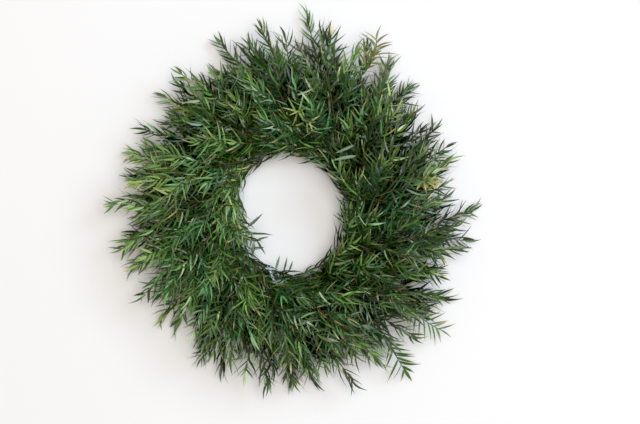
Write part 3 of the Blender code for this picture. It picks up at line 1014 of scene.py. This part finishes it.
def leaf_finish(name, shine):
    """An evergreen leaf: yellow-green when young and deep green when old, pale beneath and along its
    midrib, mottled, tan where it has dried, darker or lighter by a tone that carries painted shade too, and
    with its own shine."""
    made = bpy.data.materials.new(name)
    made.use_nodes = True
    tree = made.node_tree
    shader = tree.nodes["Principled BSDF"]
    place = node_at(tree, "ShaderNodeTexCoord").outputs["Object"]
    mottle = mottled(tree, place, coarse=160.0, fine=1100.0, contrast=1.6)
    lowered = calculate(tree, "SUBTRACT", attribute(tree, "age"), 0.08)
    age = calculate(tree, "MULTIPLY_ADD", mottle, 0.16, lowered)
    green = ramp(tree, age, (
        (0.00, (0.225, 0.245, 0.075, 1)),
        (0.22, (0.108, 0.178, 0.038, 1)),
        (0.50, (0.046, 0.108, 0.020, 1)),
        (0.78, (0.014, 0.046, 0.008, 1)),
        (1.00, (0.004, 0.016, 0.004, 1)),
    ))
    bluish = mix_colour(tree, 1.0, green, (0.58, 0.98, 2.20, 1), blend="MULTIPLY")
    green = mix_colour(tree, attribute(tree, "cool"), green, bluish)
    from_rib = calculate(tree, "MULTIPLY", attribute(tree, "across"), 5.0)
    rib = calculate(tree, "SUBTRACT", 1.0, from_rib, clamp=True)
    green = mix_colour(tree, calculate(tree, "MULTIPLY", rib, 0.35), green, (0.16, 0.24, 0.08, 1))
    beneath = mix_colour(tree, 0.55, green, (0.180, 0.250, 0.140, 1))
    green = mix_colour(tree, attribute(tree, "underside"), green, beneath)
    straw = ramp(tree, mottle, ((0.25, (0.27, 0.15, 0.050, 1)), (0.75, (0.40, 0.36, 0.17, 1))))
    from_tip = calculate(tree, "SUBTRACT", attribute(tree, "along"), 1.0)
    dried = calculate(tree, "ADD", from_tip, attribute(tree, "dry"))
    dried = calculate(tree, "MULTIPLY", calculate(tree, "MULTIPLY_ADD", mottle, 0.2, dried), 3.0, clamp=True)
    dried = calculate(tree, "MULTIPLY", dried, calculate(tree, "GREATER_THAN", attribute(tree, "dry"), 0.0))
    green = mix_colour(tree, calculate(tree, "MULTIPLY", dried, 0.8), green, straw)
    bright = node_at(tree, "ShaderNodeHueSaturation")
    # The tone attribute sets the leaf's brightness: its own tone with painted shade and painted light folded
    # in.
    tree.links.new(attribute(tree, "tone"), bright.inputs["Value"])
    tree.links.new(green, bright.inputs["Color"])
    tree.links.new(bright.outputs["Color"], shader.inputs["Base Color"])
    gloss = calculate(tree, "MULTIPLY_ADD", attribute(tree, "underside"), 0.20, 0.23)
    shader.inputs["Specular IOR Level"].default_value = shine
    tree.links.new(calculate(tree, "MULTIPLY_ADD", mottle, 0.12, gloss), shader.inputs["Roughness"])
    bump = node_at(tree, "ShaderNodeBump", Strength=0.25, Distance=0.0002)
    tree.links.new(mottle, bump.inputs["Height"])
    tree.links.new(bump.outputs["Normal"], shader.inputs["Normal"])
    return made


def twig_finish():
    """Twig bark: grey-brown at the butt, red-brown along the twig and green near the tips of the shoots."""
    made = bpy.data.materials.new("twig bark")
    made.use_nodes = True
    tree = made.node_tree
    shader = tree.nodes["Principled BSDF"]
    place = node_at(tree, "ShaderNodeTexCoord").outputs["Object"]
    mottle = mottled(tree, place, coarse=300.0, fine=1500.0, contrast=1.8)
    bark = ramp(tree, attribute(tree, "age"), (
        (0.00, (0.080, 0.045, 0.028, 1)),
        (0.35, (0.080, 0.042, 0.023, 1)),
        (0.70, (0.060, 0.060, 0.020, 1)),
        (1.00, (0.070, 0.120, 0.030, 1)),
    ))
    bark = mix_colour(tree, calculate(tree, "MULTIPLY", mottle, 0.5), bark, (0.05, 0.03, 0.02, 1))
    tree.links.new(bark, shader.inputs["Base Color"])
    shader.inputs["Roughness"].default_value = 0.65
    shader.inputs["Specular IOR Level"].default_value = 0.2
    bump = node_at(tree, "ShaderNodeBump", Strength=0.5, Distance=0.0002)
    tree.links.new(mottle, bump.inputs["Height"])
    tree.links.new(bump.outputs["Normal"], shader.inputs["Normal"])
    return made


# The glossy and dull leaf finishes are lit and shaded copies: the dull one is painted shade for leaves
# inside.
sprig_finishes = [leaf_finish("glossy leaf", 0.5), twig_finish(), leaf_finish("dull leaf in painted shade", 0.06)]
number = 0
for tie in range(WIRE_TURN_COUNT):
    for kind in ROWS_AT_TIE[tie % 2]:
        number += 1
        points, quads, finish, at_points, at_faces = sprig_parts(tie, kind, number)
        sprig = quad_object(
            f"leafy_sprig_{number:02d}", points, quads, sprig_finishes, finish, at_points, at_faces
        )
        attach(sprig, "root")
        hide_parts(f"sprig_{number:02d}")


# ---- Floor, lights and camera --------------------------------------------------------------------
# The wreath lies on a plain white surface between pale warm walls. A large warm light hangs almost overhead,
# a smaller cool one stands to the upper right, and the camera looks straight down through a long lens.

FLOOR_SIZE = 8.0
VIEW_WIDTH = 0.4864
VIEW_DISTANCE = 1.6
VIEW_CENTRE = (0.0232, -0.0091)
SENSOR_WIDTH = 36.0
WALL_STRENGTH = 0.44
DEEPEST_SHADOW = 0.0055
MAIN_LIGHT = dict(place=(1.25, 0.72, 1.45), size=0.9, power=19.0, colour=(0.64, 0.79, 1.0))
TOP_LIGHT = dict(place=(0.24, 0.14, 2.40), size=1.6, power=51.0, colour=(1.0, 0.97, 0.935))

corners = np.array(((-1, -1, 0), (1, -1, 0), (1, 1, 0), (-1, 1, 0))) * FLOOR_SIZE / 2
paper = bpy.data.materials.new("white surface")
paper.use_nodes = True
paper_shader = paper.node_tree.nodes["Principled BSDF"]
paper_shader.inputs["Base Color"].default_value = (0.785, 0.785, 0.785, 1.0)
paper_shader.inputs["Roughness"].default_value = 0.9
paper_shader.inputs["Specular IOR Level"].default_value = 0.1
floor = quad_object("floor", corners, np.array([[0, 1, 2, 3]]), [paper])

for label, light in (("main light", MAIN_LIGHT), ("top light", TOP_LIGHT)):
    lamp = bpy.data.lights.new(label, "AREA")
    lamp.shape = "DISK"
    lamp.size = light["size"]
    lamp.energy = light["power"]
    lamp.color = light["colour"]
    stand = bpy.data.objects.new(label, lamp)
    stand.location = light["place"]
    direction = -np.array(light["place"])
    stand.rotation_mode = "QUATERNION"
    stand.rotation_quaternion = Vector(direction).to_track_quat("-Z", "Y")
    bpy.context.scene.collection.objects.link(stand)

world = bpy.data.worlds.new("studio")
world.use_nodes = True
tree = world.node_tree
sky = node_at(tree, "ShaderNodeTexCoord").outputs["Generated"]
split = node_at(tree, "ShaderNodeSeparateXYZ")
tree.links.new(sky, split.inputs["Vector"])
walls = ramp(tree, split.outputs["Z"], (
    (0.00, (0.60, 0.52, 0.45, 1)),
    (0.25, (1.00, 0.88, 0.76, 1)),
    (0.70, (1.00, 0.88, 0.76, 1)),
    (0.90, (0.10, 0.09, 0.08, 1)),
))
tree.links.new(walls, tree.nodes["Background"].inputs["Color"])
tree.nodes["Background"].inputs["Strength"].default_value = WALL_STRENGTH
bpy.context.scene.world = world
exposed = bpy.context.scene.view_settings
exposed.view_transform = "Standard"
exposed.use_curve_mapping = True
exposed.curve_mapping.black_level = (DEEPEST_SHADOW,) * 3
exposed.curve_mapping.update()

lens = bpy.data.cameras.new("camera")
lens.sensor_width = SENSOR_WIDTH
lens.lens = SENSOR_WIDTH * VIEW_DISTANCE / VIEW_WIDTH
lens.clip_end = 10.0
camera = bpy.data.objects.new("camera", lens)
camera.location = (*VIEW_CENTRE, VIEW_DISTANCE + cad_box[1][2] / 2)
bpy.context.scene.collection.objects.link(camera)
bpy.context.scene.camera = camera
